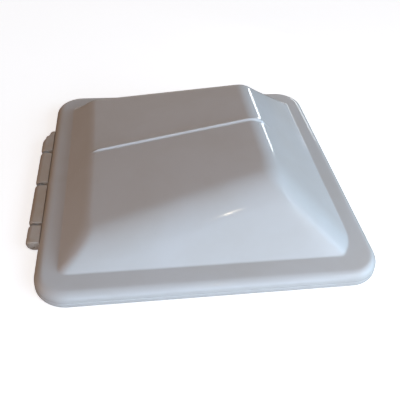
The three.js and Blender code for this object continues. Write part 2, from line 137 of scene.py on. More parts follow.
def top_plane(x):
    return TOP_LEFT_Z + TOP_SLOPE * (x - TOP_LEFT_X)


def blend(pair, share):
    return pair[0] + (pair[1] - pair[0]) * share


def crease_shift(x):
    return CREASE_SKEW * (np.clip(x, TOP_LEFT_X, TOP_RIGHT_X) - CREASE_SKEW_FROM)


def ramp(x, low, high, rounding):
    """0 to 1 from low to high on a straight flank with rounded ends."""
    climb = smooth_min((x - low) / (high - low), 1.0 + 0 * x, rounding)
    return -smooth_min(-climb, 0 * x, rounding)


def crease(x, y):
    """Low bead across the top: a steep front and a shallower back."""
    across = y - CREASE_Y - crease_shift(x)
    profile = ramp(across, *CREASE_FRONT, CREASE_ROUNDING)
    profile -= smooth_step(across, CREASE_FRONT[1], CREASE_BACK)
    left_end = smooth_step(x, TOP_LEFT_X - 1, TOP_LEFT_X + 14)
    right_end = 1 - smooth_step(x, TOP_RIGHT_X, TOP_RIGHT_X + 16)
    return CREASE_HIGH * profile * left_end * right_end


def lid_height(x, y):
    """Height of the outer surface inside the rim."""
    front = FLANGE_Z + (y + BASE_HALF_Y) / FRONT_RUN
    back = FLANGE_Z + (BASE_HALF_Y - y) / BACK_RUN
    left = FLANGE_Z + (x + BASE_HALF_X) / LEFT_RUN
    right = FLANGE_Z + (BASE_HALF_X - x) / RIGHT_RUN
    crown = CROWN * (1 - (y / CROWN_REACH) ** 2) - CROWN_DROP
    dome = smooth_min(top_plane(x) + crown, front, FRONT_ROLL)
    dome = smooth_min(dome, left, blend(LEFT_BLEND, smooth_step(-y, 100, 150)))
    hip_face = (front + right) / 2 - HIP_CUT
    right = smooth_min(right, hip_face, HIP_BLEND)
    dome = smooth_min(dome, right, blend(RIGHT_BLEND, smooth_step(-y, 70, 125)))
    at_hip = smooth_step(np.maximum(TOP_LEFT_X - x, x - TOP_RIGHT_X), -8, 25)
    dome = smooth_min(dome, back, blend(BACK_BLEND, at_hip)) + crease(x, y)
    return -smooth_min(-dome, np.full_like(dome, -FLANGE_Z), FOOT_BLEND)


# ------------------------------------------------------------------------------------- lid mesh

# A loop runs front, right, back, left. Each side has the same number of points on every loop:
# half a corner arc, a straight stretch and half of the next corner arc.
ARC_STEPS = 12
CREASE_OFFSETS = [-3.0, -2.1, -1.6, -1.2, -0.8, -0.4, 0.0, 0.4, 1.0, 2.4, 4.2, 6.0]
CREASE_ROWS = CREASE_Y + np.array(CREASE_OFFSETS)
ROWS_BEFORE, ROWS_AFTER = 16, 14
STRAIGHT_STEPS = ROWS_BEFORE + ROWS_AFTER + len(CREASE_ROWS) - 1
SIDE_STEPS = STRAIGHT_STEPS + 2 * ARC_STEPS
LOOP_POINTS = 4 * SIDE_STEPS


def unit(v):
    return v / np.linalg.norm(v, axis=-1, keepdims=True)


def corner_arc(corner, before, after, radius):
    """Half a corner's arc as a function of its fraction, where the loop turns left."""
    into, out = unit(corner - before), unit(after - corner)
    turn = math.acos(float(np.clip(into @ out, -1, 1)))
    start = corner - into * radius * math.tan(turn / 2)
    centre = start + np.array([-into[1], into[0]]) * radius
    arm = start - centre

    def at(fraction):
        c, s = math.cos(turn * fraction), math.sin(turn * fraction)
        return centre + np.array([c * arm[0] - s * arm[1], s * arm[0] + c * arm[1]])

    return at


def straight_fractions(side, start, end):
    """Even steps on the front and back; on the other sides, rows that follow the crease."""
    if side in (0, 2):
        return np.linspace(0, 1, STRAIGHT_STEPS + 1)
    low, high = sorted((start[1], end[1]))
    crease_rows = CREASE_ROWS + crease_shift(start[0])
    rows = np.concatenate([
        np.linspace(low, crease_rows[0], ROWS_BEFORE + 1)[:-1],
        crease_rows,
        np.linspace(crease_rows[-1], high, ROWS_AFTER + 1)[1:],
    ])
    fractions = (rows - low) / (high - low)
    return fractions if side == 1 else (1 - fractions)[::-1]


def loop(corners, radii):
    corners = [np.array(c, float) for c in corners]
    arcs = [
        corner_arc(corners[i], corners[i - 1], corners[(i + 1) % 4], radii[i]) for i in range(4)
    ]
    points = []
    for side in range(4):
        first, second = arcs[side], arcs[(side + 1) % 4]
        start, end = first(1), second(0)
        points += [first(0.5 + 0.5 * i / ARC_STEPS) for i in range(ARC_STEPS)]
        points += [start + (end - start) * f for f in straight_fractions(side, start, end)]
        points += [second(0.5 * i / ARC_STEPS) for i in range(1, ARC_STEPS)]
    return np.array(points)


def rectangle(half_x, half_y):
    return [(-half_x, -half_y), (half_x, -half_y), (half_x, half_y), (-half_x, half_y)]


def rim_loop(inset):
    half = LID_HALF - inset
    return loop(rectangle(half, half), [LID_CORNER_R - inset] * 4)


def foot_loop(outward):
    corners = rectangle(BASE_HALF_X + outward, BASE_HALF_Y + outward)
    return loop(corners, [r + outward for r in BASE_RADII])


def dome_corners(x_left, x_right, front, back):
    """Corners of a loop on the dome; front and back give (left, right) places in Y."""
    corners = [(x_left, front[0]), (x_right, front[1]), (x_right, back[1]), (x_left, back[0])]
    return np.array(corners, float)


RISE = np.array([TOP_LEFT_Z, TOP_RIGHT_Z]) - FLANGE_Z
TOP_FRONT = -BASE_HALF_Y + FRONT_RUN * RISE
TOP_BACK = BASE_HALF_Y - BACK_RUN * RISE
# Each loop on the dome is its corners and their radii.
TOP_LOOP = dome_corners(TOP_LEFT_X, TOP_RIGHT_X, TOP_FRONT, TOP_BACK), np.array((8, 24, 12, 8))
INNER_LOOP = (
    dome_corners(TOP_LEFT_X + 11, TOP_RIGHT_X - 14, TOP_FRONT + 35, TOP_BACK - 12),
    np.array((5, 12, 8, 5)),
)


def shoulder_loop():
    """Loop below the rounding of the top edge, never past two thirds of the way to the foot."""
    top, foot = TOP_LOOP[0], np.array(rectangle(BASE_HALF_X, BASE_HALF_Y))
    reach = np.array([(10, 35), (14, 35), (14, 12), (10, 12)])
    share = np.minimum(reach / np.abs(foot - top), 0.65)
    return top + (foot - top) * share, np.array((10, 28, 16, 12))


def between(a, b, share):
    return loop(a[0] + (b[0] - a[0]) * share, a[1] + (b[1] - a[1]) * share)


def skirt_profile():
    """(inset, height) from the foot of the skirt to the flange."""
    lip = [(0.7, 0), (0.2, 0.2), (0, 0.7), (0.1, 2.6), (0.25, 4.6), (0.32, 5.5)]
    step = [(0.75, 5.8), (0.85, 6.1)]
    profile = lip + step
    low = FLANGE_Z - EDGE_R
    steps = 14
    for i in range(steps + 1):
        a = math.pi / 2 * i / steps
        profile.append((EDGE_INSET + EDGE_R * (1 - math.cos(a)), low + EDGE_R * math.sin(a)))
    return profile


STRAP_LOW, STRAP_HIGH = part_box("hinge_strap")
NOTCH_MARGIN = 5  # wide enough to reach a row of points past each end of the strap
NOTCH_START, NOTCH_END = STRAP_LOW.y / MM - NOTCH_MARGIN, STRAP_HIGH.y / MM + NOTCH_MARGIN
NOTCH_HIGH = 2.3
NOTCH_X = -190  # the notch is in the side to the left of this
FLANGE_INSETS = (15, 18)
FOOT_OFFSETS = (5.5, 3.5, 2.2, 1.4, 0.7, 0, -0.7, -1.4, -2.2, -3.5, -5.5)
FACE_STEPS = 12
SHOULDER_STEPS = (0, 0.12, 0.24, 0.38, 0.54, 0.7, 0.85)


def lid_rings():
    """Rings of points from the foot of the skirt up to the border of the top's grid."""
    rings = []
    for inset, z in skirt_profile():
        plan = rim_loop(inset)
        heights = np.full(len(plan), float(z))
        beside_strap = (plan[:, 1] > NOTCH_START) & (plan[:, 1] < NOTCH_END)
        over_strap = (plan[:, 0] < NOTCH_X) & beside_strap
        heights[over_strap] = np.maximum(heights[over_strap], NOTCH_HIGH + z * 0.3)
        rings.append(np.column_stack([plan, heights]))
    plans = [rim_loop(inset) for inset in FLANGE_INSETS]
    plans += [foot_loop(outward) for outward in FOOT_OFFSETS]
    inset = -FOOT_OFFSETS[-1]
    foot = (
        np.array(rectangle(BASE_HALF_X - inset, BASE_HALF_Y - inset)),
        np.array(BASE_RADII) - inset,
    )
    shoulder = shoulder_loop()
    plans += [between(foot, shoulder, i / FACE_STEPS) for i in range(1, FACE_STEPS)]
    climb = np.subtract(1, SHOULDER_STEPS[::-1])[:-1]
    plans += [between(shoulder, TOP_LOOP, share) for share in climb]
    plans += [between(TOP_LOOP, INNER_LOOP, share) for share in (*SHOULDER_STEPS, 1)]
    for plan in plans:
        rings.append(np.column_stack([plan, lid_height(plan[:, 0], plan[:, 1])]))
    return rings


def top_grid(border):
    """Vertices inside the innermost loop, as a grid whose border is that loop."""
    n = SIDE_STEPS
    front, right = border[: n + 1], border[n : 2 * n + 1]
    back = border[2 * n : 3 * n + 1][::-1]
    left = np.concatenate([border[3 * n :], border[:1]])[::-1]
    u = np.linspace(0, 1, n + 1)[None, :, None]
    v = ((left[:, 1] - left[0, 1]) / (left[-1, 1] - left[0, 1]))[:, None, None]
    across = left[:, None] * (1 - u) + right[:, None] * u
    along = front[None] * (1 - v) + back[None] * v
    front_corners = left[0] * (1 - u) + right[0] * u
    back_corners = left[-1] * (1 - u) + right[-1] * u
    corners = front_corners * (1 - v) + back_corners * v
    grid = (across + along - corners)[..., :2]
    first = ARC_STEPS + ROWS_BEFORE
    last = first + len(CREASE_ROWS)
    grid[first:last, :, 1] = CREASE_ROWS[:, None] + crease_shift(grid[first:last, :, 0])
    return np.concatenate([grid, lid_height(grid[..., 0], grid[..., 1])[..., None]], axis=2)


def lid_skin():
    """Vertices and quads of the outer skin, ring 0 first."""
    rings = lid_rings()
    n, count = SIDE_STEPS, LOOP_POINTS
    grid = top_grid(rings[-1])
    vertices = np.concatenate([np.concatenate(rings), grid[1:n, 1:n].reshape(-1, 3)])
    quads = []
    for ring in range(len(rings) - 1):
        low = ring * count
        for i in range(count):
            j = (i + 1) % count
            quads.append((low + i, low + j, low + count + j, low + count + i))
    last = (len(rings) - 1) * count
    index = np.zeros((n + 1, n + 1), int)
    index[0] = last + np.arange(n + 1)
    index[:, n] = last + n + np.arange(n + 1)
    index[n] = last + 3 * n - np.arange(n + 1)
    index[:, 0] = last + (4 * n - np.arange(n + 1)) % (4 * n)
    index[1:n, 1:n] = len(rings) * count + np.arange((n - 1) ** 2).reshape(n - 1, n - 1)
    for row in range(n):
        for column in range(n):
            quads.append((
                index[row, column],
                index[row, column + 1],
                index[row + 1, column + 1],
                index[row + 1, column],
            ))
    return vertices, quads


def skin_normals(vertices, quads):
    q = np.array(quads)
    one, other = vertices[q[:, 2]] - vertices[q[:, 0]], vertices[q[:, 3]] - vertices[q[:, 1]]
    facing = np.cross(one, other)
    normals = np.zeros_like(vertices)
    for corner in range(4):
        np.add.at(normals, q[:, corner], facing)
    return unit(normals)


def lid_shell_mesh():
    """The skin and its copy one wall inside, closed along the foot of the skirt.

    The wall thins towards the foot, and the three lowest rings are offset level.
    """
    vertices, quads = lid_skin()
    normals = skin_normals(vertices, quads)
    count = LOOP_POINTS
    rim = normals[: 3 * count]
    rim[:, 2] = 0
    normals[: 3 * count] = unit(rim)
    wall = np.full((len(vertices), 1), float(WALL))
    wall[:count] = 1.2
    wall[count : 2 * count] = 2.2
    inside = vertices - normals * wall
    shift = len(vertices)
    faces = quads + [(shift + a, shift + d, shift + c, shift + b) for a, b, c, d in quads]
    faces += [((i + 1) % count, i, shift + i, shift + (i + 1) % count) for i in range(count)]
    return np.concatenate([vertices, inside]), faces


# ------------------------------------------------------------------------------------- objects


def new_object(name, points, faces, smooth_angle=None):
    """A mesh object from millimetre points in the lid's frame."""
    mesh = bpy.data.meshes.new(name)
    mesh.from_pydata(to_frame(points).tolist(), [], [tuple(int(i) for i in f) for f in faces])
    mesh.validate()
    mesh.update()
    mesh.shade_smooth()
    if smooth_angle:
        mesh.set_sharp_from_angle(angle=math.radians(smooth_angle))
    made = bpy.data.objects.new(name, mesh)
    bpy.context.scene.collection.objects.link(made)
    return made


def apply_modifiers(obj):
    graph = bpy.context.evaluated_depsgraph_get()
    mesh = bpy.data.meshes.new_from_object(obj.evaluated_get(graph))
    obj.modifiers.clear()
    obj.data = mesh


def remove(obj):
    bpy.data.objects.remove(obj)


def cut(obj, tool):
    """Takes the tool's volume out of obj and removes the tool."""
    modifier = obj.modifiers.new("cut", "BOOLEAN")
    modifier.operation = "DIFFERENCE"
    modifier.solver = "EXACT"
    modifier.object = tool
    apply_modifiers(obj)
    remove(tool)


def join(first, others):
    """Adds the others' meshes to the first object's and removes the others."""
    joined = bmesh.new()
    for obj in [first, *others]:
        joined.from_mesh(obj.data)
    joined.to_mesh(first.data)
    joined.free()
    for obj in others:
        remove(obj)


def lathe_mesh(profile, steps):
    """Points and faces of (radius, height) points turned about Z; ends at radius 0 are closed."""
    points, faces, rows = [], [], []
    for radius, z in profile:
        if radius < 1e-6:
            rows.append([len(points)] * steps)
            points.append((0, 0, z))
        else:
            rows.append(list(range(len(points), len(points) + steps)))
            for i in range(steps):
                a = 2 * math.pi * i / steps
                points.append((radius * math.cos(a), radius * math.sin(a), z))
    for low, high in zip(rows, rows[1:]):
        for i in range(steps):
            j = (i + 1) % steps
            face = list(dict.fromkeys([low[i], low[j], high[j], high[i]]))
            faces.append(tuple(face))
    return np.array(points, float), faces


# ------------------------------------------------------------------------------------- barrels

PIN_LOW, PIN_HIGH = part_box("hinge_pin")
PIN_X = ((PIN_LOW.x + PIN_HIGH.x) / 2 - SHIFT_X) / MM
PIN_Z = (PIN_LOW.z + PIN_HIGH.z) / 2 / MM
BARREL_R = PIN_X - (LID_BOX[0].x - SHIFT_X) / MM
BARRELS = [(-117, -88.5), (-84, -15), (-9, 54), (61, 107)]
BARREL_SHOULDER = 24  # the back barrel tapers into the rim over this length
SHOULDER_DEPTH = 8.5
BARREL_ROOT_X = -199.5
BARREL_TOP, BARREL_LOW = 6.9, 6.2  # from the pin's axis to the flat top and underside
BARREL_NEAR_R, BARREL_FAR_R = 5.5, 1.2  # rounding of a barrel's front and back ends
NOSE_START, NOSE_SWEEP = 84, 192  # degrees, turning from +X over the top
NOSE_STEPS = 18


def tube_y(radius, y0, y1, steps=48):
    """Closed cylinder round the pin's axis, as a tool for cut()."""
    points, faces = lathe_mesh([(0, y0), (radius, y0), (radius, y1), (0, y1)], steps)
    turned = np.column_stack([points[:, 0] + PIN_X, points[:, 2], -points[:, 1] + PIN_Z])
    return new_object("tool", turned, faces)


def barrel_section(recess, shrink):
    """Outline in X and Z: a round nose at the pin, running back to the skirt."""
    radius = BARREL_R - shrink
    centre = PIN_X + recess
    top, low = PIN_Z + BARREL_TOP - shrink, PIN_Z - BARREL_LOW + shrink
    points = [(BARREL_ROOT_X, top), (BARREL_ROOT_X - 3, top)]
    for i in range(NOSE_STEPS + 1):
        a = math.radians(NOSE_START + NOSE_SWEEP * i / NOSE_STEPS)
        points.append((centre + radius * math.cos(a), PIN_Z + radius * math.sin(a)))
    points += [(BARREL_ROOT_X - 3, low), (BARREL_ROOT_X, low)]
    # Points stop at the root, a hair apart, so that none fall on each other.
    return [(min(x, BARREL_ROOT_X + 0.01 * k), z) for k, (x, z) in enumerate(points)]


def end_recess(s, radius):
    """How far a rounded end falls back, at distance s from it."""
    if s >= radius:
        return 0.0
    return radius - math.sqrt(max(radius * radius - (radius - s) ** 2, 0))


def barrel(span, shoulder):
    """One barrel along the pin; shoulder is the length of its taper, or 0."""
    y0, y1 = span
    # Places along Y, each with how much the section shrinks there.
    stations = [(y0, 0.9), (y0 + 0.25, 0.35), (y0 + 0.8, 0)]
    stations += [(y0 + s, 0) for s in (1.4, 2.2, 3.2, 4.4, 5.5)]
    stations += [(y, 0) for y in np.linspace(y0 + 9, y1 - shoulder - 4, 8)]
    if shoulder:
        stations += [(y, 0) for y in np.linspace(y1 - shoulder - 2, y1 - 1, 10)]
    stations += [(y1 - 0.8, 0), (y1 - 0.25, 0.35), (y1, 0.9)]
    rows = []
    for y, shrink in stations:
        recess = end_recess(y - y0, BARREL_NEAR_R)
        if shoulder:
            recess += smooth_step(y, y1 - shoulder, y1) * SHOULDER_DEPTH
        else:
            recess += end_recess(y1 - y, BARREL_FAR_R)
        rows.append([(x, y, z) for x, z in barrel_section(recess, shrink)])
    points = np.array(rows).reshape(-1, 3)
    n = len(rows[0])
    faces = []
    for r in range(len(rows) - 1):
        for i in range(n):
            j = (i + 1) % n
            faces.append((r * n + i, r * n + j, (r + 1) * n + j, (r + 1) * n + i))
    faces.append(tuple(range(n))[::-1])
    faces.append(tuple(range((len(rows) - 1) * n, len(rows) * n)))
    made = new_object("barrel", points, faces)
    bm = bmesh.new()
    bm.from_mesh(made.data)
    bmesh.ops.recalc_face_normals(bm, faces=bm.faces)
    bm.to_mesh(made.data)
    bm.free()
    return made


CAP_R = 3.9
BORE_R = 2.1


def lid_barrels():
    """The four barrels, bored for the pin, with a wider bore for the cap at each end."""
    made = []
    for number, span in enumerate(BARRELS):
        last = number == len(BARRELS) - 1
        one = barrel(span, BARREL_SHOULDER if last else 0)
        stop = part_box("pin_cap_back")[0].y / MM if last else span[1] + 1
        cut(one, tube_y(BORE_R, span[0] - 1, stop, 32))
        if number == 0:
            cut(one, tube_y(CAP_R, span[0] - 1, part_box("pin_cap_front")[1].y / MM))
        if last:
            cut(one, tube_y(CAP_R, stop, span[1] + 1))
        one.data.shade_smooth()
        one.data.set_sharp_from_angle(angle=math.radians(40))
        made.append(one)
    return made


# ------------------------------------------------------------------------------------- bosses

SLIDE = next(joint for joint in frame["joints"] if joint["name"] == "shoe_slide")["axis"]
TRACK_TILT = math.atan2(SLIDE[2], SLIDE[0])
TRACK_BOX = np.array(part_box("lift_track"))
TRACK_MIDDLE = (TRACK_BOX.mean(axis=0) - (SHIFT_X, 0, 0)) / MM
TRACK_HALF_TALL = 5.85
BOSS_GAP = 0.3
SCREWS = [(-60, -18), (60, -18), (60, 18), (-60, 18)]  # along the track and across it


def in_track_frame(points, u, v):
    """Points about a screw, whose third value is the height over the track's middle, in the lid."""
    p = np.asarray(points, float) + (u, v, 0)
    c, s = math.cos(TRACK_TILT), math.sin(TRACK_TILT)
    turned = np.column_stack([c * p[:, 0] - s * p[:, 2], p[:, 1], s * p[:, 0] + c * p[:, 2]])
    return turned + TRACK_MIDDLE


def lid_bosses():
    """Screw bosses that hang from the dome's wall and end just above the track."""
    steps = 40
    end = TRACK_HALF_TALL + BOSS_GAP
    hole = [(0, end + 5), (1.8, end + 5), (1.8, end + 0.4), (2.1, end)]
    stem = [*hole, (4.6, end), (4.95, end + 0.3)]
    flare = [(5.2, -1.6), (5.9, -0.5), (7.2, 0.8), (0, 1.2)]  # heights over the wall's underside
    first = (len(stem) - 1) * steps + 1
    points, faces = lathe_mesh(stem + flare, steps)
    made = []
    for u, v in SCREWS:
        placed = in_track_frame(points, u, v)
        underside = lid_height(placed[first:, 0], placed[first:, 1]) - WALL / math.cos(TRACK_TILT)
        placed[first:, 2] = underside + points[first:, 2]
        made.append(new_object("boss", placed, faces, 50))
    return made


# ------------------------------------------------------------------------------------- materials


class Paint:
    """A material whose nodes are added one by one."""

    def __init__(self, name, **principled):
        self.material = bpy.data.materials.new(name)
        self.material.use_nodes = True
        self.nodes = self.material.node_tree.nodes
        self.links = self.material.node_tree.links
        self.shader = self.nodes["Principled BSDF"]
        for key, value in principled.items():
            self.shader.inputs[key.replace("_", " ")].default_value = value
        self.where = self.nodes.new("ShaderNodeTexCoord").outputs["Object"]

    def add(self, kind, values=None, links=None, **settings):
        """A node with its input values, its links by input, and its own settings."""
        node = self.nodes.new("ShaderNode" + kind)
        for key, value in settings.items():
            setattr(node, key, value)
        for key, value in (values or {}).items():
            node.inputs[key].default_value = value
        for key, source in (links or {}).items():
            self.links.new(source, node.inputs[key])
        return node

    def stretched(self, scale, turn=(0, 0, 0)):
        """Coordinates scaled differently along each axis, for grain and scratches."""
        node = self.add("Mapping", {"Scale": scale, "Rotation": turn}, {"Vector": self.where})
        return node.outputs["Vector"]

    def noise(self, scale, detail=3, rough=0.55, where=None, distortion=0):
        values = {"Scale": scale, "Detail": detail, "Roughness": rough, "Distortion": distortion}
        return self.add("TexNoise", values, {"Vector": where or self.where}).outputs["Fac"]

    def cells(self, scale, output="Distance"):
        return self.add("TexVoronoi", {"Scale": scale}, {"Vector": self.where}).outputs[output]

    def span(self, source, low, high, to_low=0, to_high=1):
        """Maps low..high of the source smoothly to to_low..to_high, clamped."""
        values = {1: low, 2: high, 3: to_low, 4: to_high}
        settings = {"interpolation_type": "SMOOTHSTEP", "clamp": True}
        return self.add("MapRange", values, {0: source}, **settings).outputs[0]

    def math(self, operation, a, b):
        node = self.add("Math", operation=operation)
        for slot, value in enumerate((a, b)):
            if isinstance(value, (int, float)):
                node.inputs[slot].default_value = value
            else:
                self.links.new(value, node.inputs[slot])
        return node.outputs[0]

    def mix(self, factor, a, b):
        """Colour a where factor is 0 and b where it is 1."""
        node = self.add("Mix", data_type="RGBA")
        for slot, value in ((0, factor), (6, a), (7, b)):
            if isinstance(value, bpy.types.NodeSocket):
                self.links.new(value, node.inputs[slot])
            elif isinstance(value, tuple):
                node.inputs[slot].default_value = (*value, 1)
            else:
                node.inputs[slot].default_value = value
        return node.outputs[2]

    def set(self, name, source):
        self.links.new(source, self.shader.inputs[name])

    def bump(self, *layers):
        """Stacks (height, distance in metres, strength) layers."""
        normal = None
        for height, distance, strength in layers:
            links = {"Height": height}
            if normal is not None:
                links["Normal"] = normal
            node = self.add("Bump", {"Distance": distance, "Strength": strength}, links)
            normal = node.outputs["Normal"]
        self.links.new(normal, self.shader.inputs["Normal"])


def scratches(paint, scale, turn, width=0.03):
    """Sparse hairlines: thin contour lines of a stretched noise, shown only in patches."""
    along = paint.stretched((1, 0.06, 1), turn)
    lines = paint.noise(scale, 1, 0.5, along)
    near = paint.math("ABSOLUTE", paint.math("SUBTRACT", lines, 0.5), 0)
    line = paint.span(near, 0, width, 1, 0)
    patch = paint.span(paint.noise(scale * 0.12, 2), 0.52, 0.66)
    return paint.math("MULTIPLY", line, patch)


def lid_plastic():
    """Glossy white plastic that has aged outdoors: faint yellowing, haze, hairlines and dust,
    with a patchy brown shade painted along the hinge side.
    """
    paint = Paint("lid_plastic", IOR=1.49)
    age = paint.span(paint.noise(7, 4, 0.6, distortion=0.4), 0.35, 0.7)
    fresh = paint.mix(age, (0.80, 0.785, 0.76), (0.765, 0.74, 0.70))
    axes = paint.add("SeparateXYZ", links={0: paint.where}).outputs
    # Patchy brown shade painted along the hinge side, standing in for the warm shade that falls
    # there.
    hinge_shade_full, hinge_shade_end = to_frame([[-200, 0, 0], [-186, 0, 0]])[:, 0]
    hinge_side = paint.span(axes["X"], hinge_shade_full, hinge_shade_end, 1, 0)
    patchy = paint.span(paint.noise(24, 4, 0.6), 0.2, 0.7, 0.6, 1)
    hinge_shade = paint.math("MULTIPLY", hinge_side, patchy)
    body = paint.mix(hinge_shade, fresh, (0.66, 0.54, 0.42))
    fleck = paint.span(paint.cells(260), 0.0, 0.12, 1, 0)
    few = paint.span(paint.noise(55, 2), 0.62, 0.72)
    speck = paint.math("MULTIPLY", fleck, few)
    haze = paint.span(paint.noise(18, 5, 0.65), 0.3, 0.75)
    one_way, other_way = scratches(paint, 300, (0, 0, 0.5)), scratches(paint, 340, (0, 0, -0.9))
    hairs = paint.math("ADD", one_way, other_way)
    paint.set("Base Color", paint.mix(speck, body, (0.42, 0.38, 0.33)))
    smooth = paint.span(haze, 0, 1, 0.05, 0.11)
    paint.set("Roughness", paint.math("ADD", smooth, paint.math("MULTIPLY", hairs, 0.16)))
    paint.bump(
        (paint.noise(60, 3, 0.5), 0.0004, 0.12),
        (paint.noise(900, 2, 0.5), 0.00003, 0.25),
        (hairs, 0.00002, 0.5),
    )
    return paint.material


def zinc_steel():
    """Zinc-plated sheet: soft spangle, rolled grain and handling scratches."""
    paint = Paint("zinc_steel", Metallic=1.0)
    spangle = paint.cells(210, output="Color")
    grey = paint.add("RGBToBW", links={0: spangle}).outputs[0]
    tarnish = paint.span(paint.noise(38, 4, 0.6), 0.4, 0.72)
    plate = paint.mix(grey, (0.50, 0.51, 0.52), (0.63, 0.635, 0.63))
    paint.set("Base Color", paint.mix(tarnish, plate, (0.42, 0.40, 0.36)))
    hairs = scratches(paint, 420, (0, 0, 1.3))
    spangled = paint.span(grey, 0, 1, 0.3, 0.46)
    rough = paint.math("ADD", spangled, paint.math("MULTIPLY", tarnish, 0.14))
    paint.set("Roughness", paint.math("ADD", rough, paint.math("MULTIPLY", hairs, -0.12)))
    grain = paint.noise(700, 2, 0.5, paint.stretched((0.08, 1, 1)))
    paint.bump((grain, 0.00002, 0.5), (grey, 0.00002, 0.25), (hairs, 0.00003, 0.6))
    return paint.material


def bright_steel():
    """Turned bright steel with fine rings of tool marks and a little grime."""
    paint = Paint("bright_steel", Metallic=1.0)
    grime = paint.span(paint.noise(160, 4, 0.6), 0.5, 0.75)
    paint.set("Base Color", paint.mix(grime, (0.66, 0.66, 0.65), (0.34, 0.31, 0.27)))
    fine = paint.noise(2400, 2, 0.5, paint.stretched((1, 0.1, 1)))
    turned = paint.span(fine, 0.3, 0.7, 0.2, 0.34)
    paint.set("Roughness", paint.math("ADD", turned, paint.math("MULTIPLY", grime, 0.22)))
    paint.bump((fine, 0.00001, 0.5), (paint.noise(300, 3), 0.00004, 0.2))
    return paint.material


def seal_foam():
    """Closed-cell foam: matt, dark grey, with open pores on the cut faces."""
    paint = Paint("seal_foam", IOR=1.45)
    pores = paint.span(paint.cells(1100), 0.12, 0.5)
    coarse = paint.span(paint.cells(420), 0.05, 0.45)
    shade = paint.span(paint.noise(35, 4, 0.6), 0.3, 0.72)
    skin = paint.mix(shade, (0.060, 0.063, 0.068), (0.105, 0.106, 0.108))
    paint.set("Base Color", paint.mix(pores, (0.018, 0.019, 0.021), skin))
    paint.set("Roughness", paint.span(shade, 0, 1, 0.82, 0.96))
    paint.bump((pores, 0.0003, 0.7), (coarse, 0.0005, 0.5), (paint.noise(90, 3), 0.0008, 0.3))
    return paint.material


def nylon():
    """Natural nylon: creamy, waxy and slightly translucent, rubbed where it slides."""
    paint = Paint("nylon", IOR=1.53)
    shade = paint.span(paint.noise(70, 4, 0.6), 0.3, 0.7)
    rub = paint.span(paint.noise(220, 3, 0.5, paint.stretched((0.15, 1, 1))), 0.5, 0.68)
    clean = paint.mix(shade, (0.72, 0.68, 0.58), (0.66, 0.61, 0.50))
    paint.set("Base Color", paint.mix(rub, clean, (0.52, 0.48, 0.41)))
    paint.set("Roughness", paint.span(rub, 0, 1, 0.44, 0.3))
    paint.bump((paint.noise(500, 3), 0.00005, 0.4), (rub, 0.00004, 0.3))
    return paint.material


def black_plastic():
    """Moulded black plastic with a fine spark-eroded texture."""
    paint = Paint("black_plastic", IOR=1.5)
    shade = paint.span(paint.noise(90, 4, 0.6), 0.3, 0.72)
    paint.set("Base Color", paint.mix(shade, (0.013, 0.013, 0.014), (0.030, 0.029, 0.028)))
    paint.set("Roughness", paint.span(shade, 0, 1, 0.42, 0.6))
    paint.bump((paint.noise(1800, 3, 0.6), 0.00006, 0.6), (paint.noise(200, 2), 0.0001, 0.2))
    return paint.material


MATERIALS = {
    "lid_plastic": lid_plastic(),
    "zinc_steel": zinc_steel(),
    "bright_steel": bright_steel(),
    "seal_foam": seal_foam(),
    "nylon": nylon(),
    "black_plastic": black_plastic(),
}


def finish_piece(obj, body, slot, *nodes):
    obj.data.materials.clear()
    obj.data.materials.append(MATERIALS[slot])
    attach(obj, body)
    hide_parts(*nodes)


def dress_node(name, slot, bevel=0.3, angle=35):
    """A CAD node that stays: its edges are softened and it takes a material."""
    node = NODES[name]
    node.data.materials.clear()
    node.data.materials.append(MATERIALS[slot])
    weld = node.modifiers.new("weld", "WELD")
    weld.merge_threshold = 0.00001
    soft = node.modifiers.new("soft edges", "BEVEL")
    soft.width = bevel * MM
    soft.segments = 3
    soft.limit_method = "ANGLE"
    soft.angle_limit = math.radians(angle)
    soft.use_clamp_overlap = True
    soft.harden_normals = False


# ------------------------------------------------------------------------------------- seal

SEAL_LOW, SEAL_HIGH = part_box("rim_seal")
SEAL_WIDE = 11


def outward(angle):
    return np.array([math.cos(angle), math.sin(angle)])


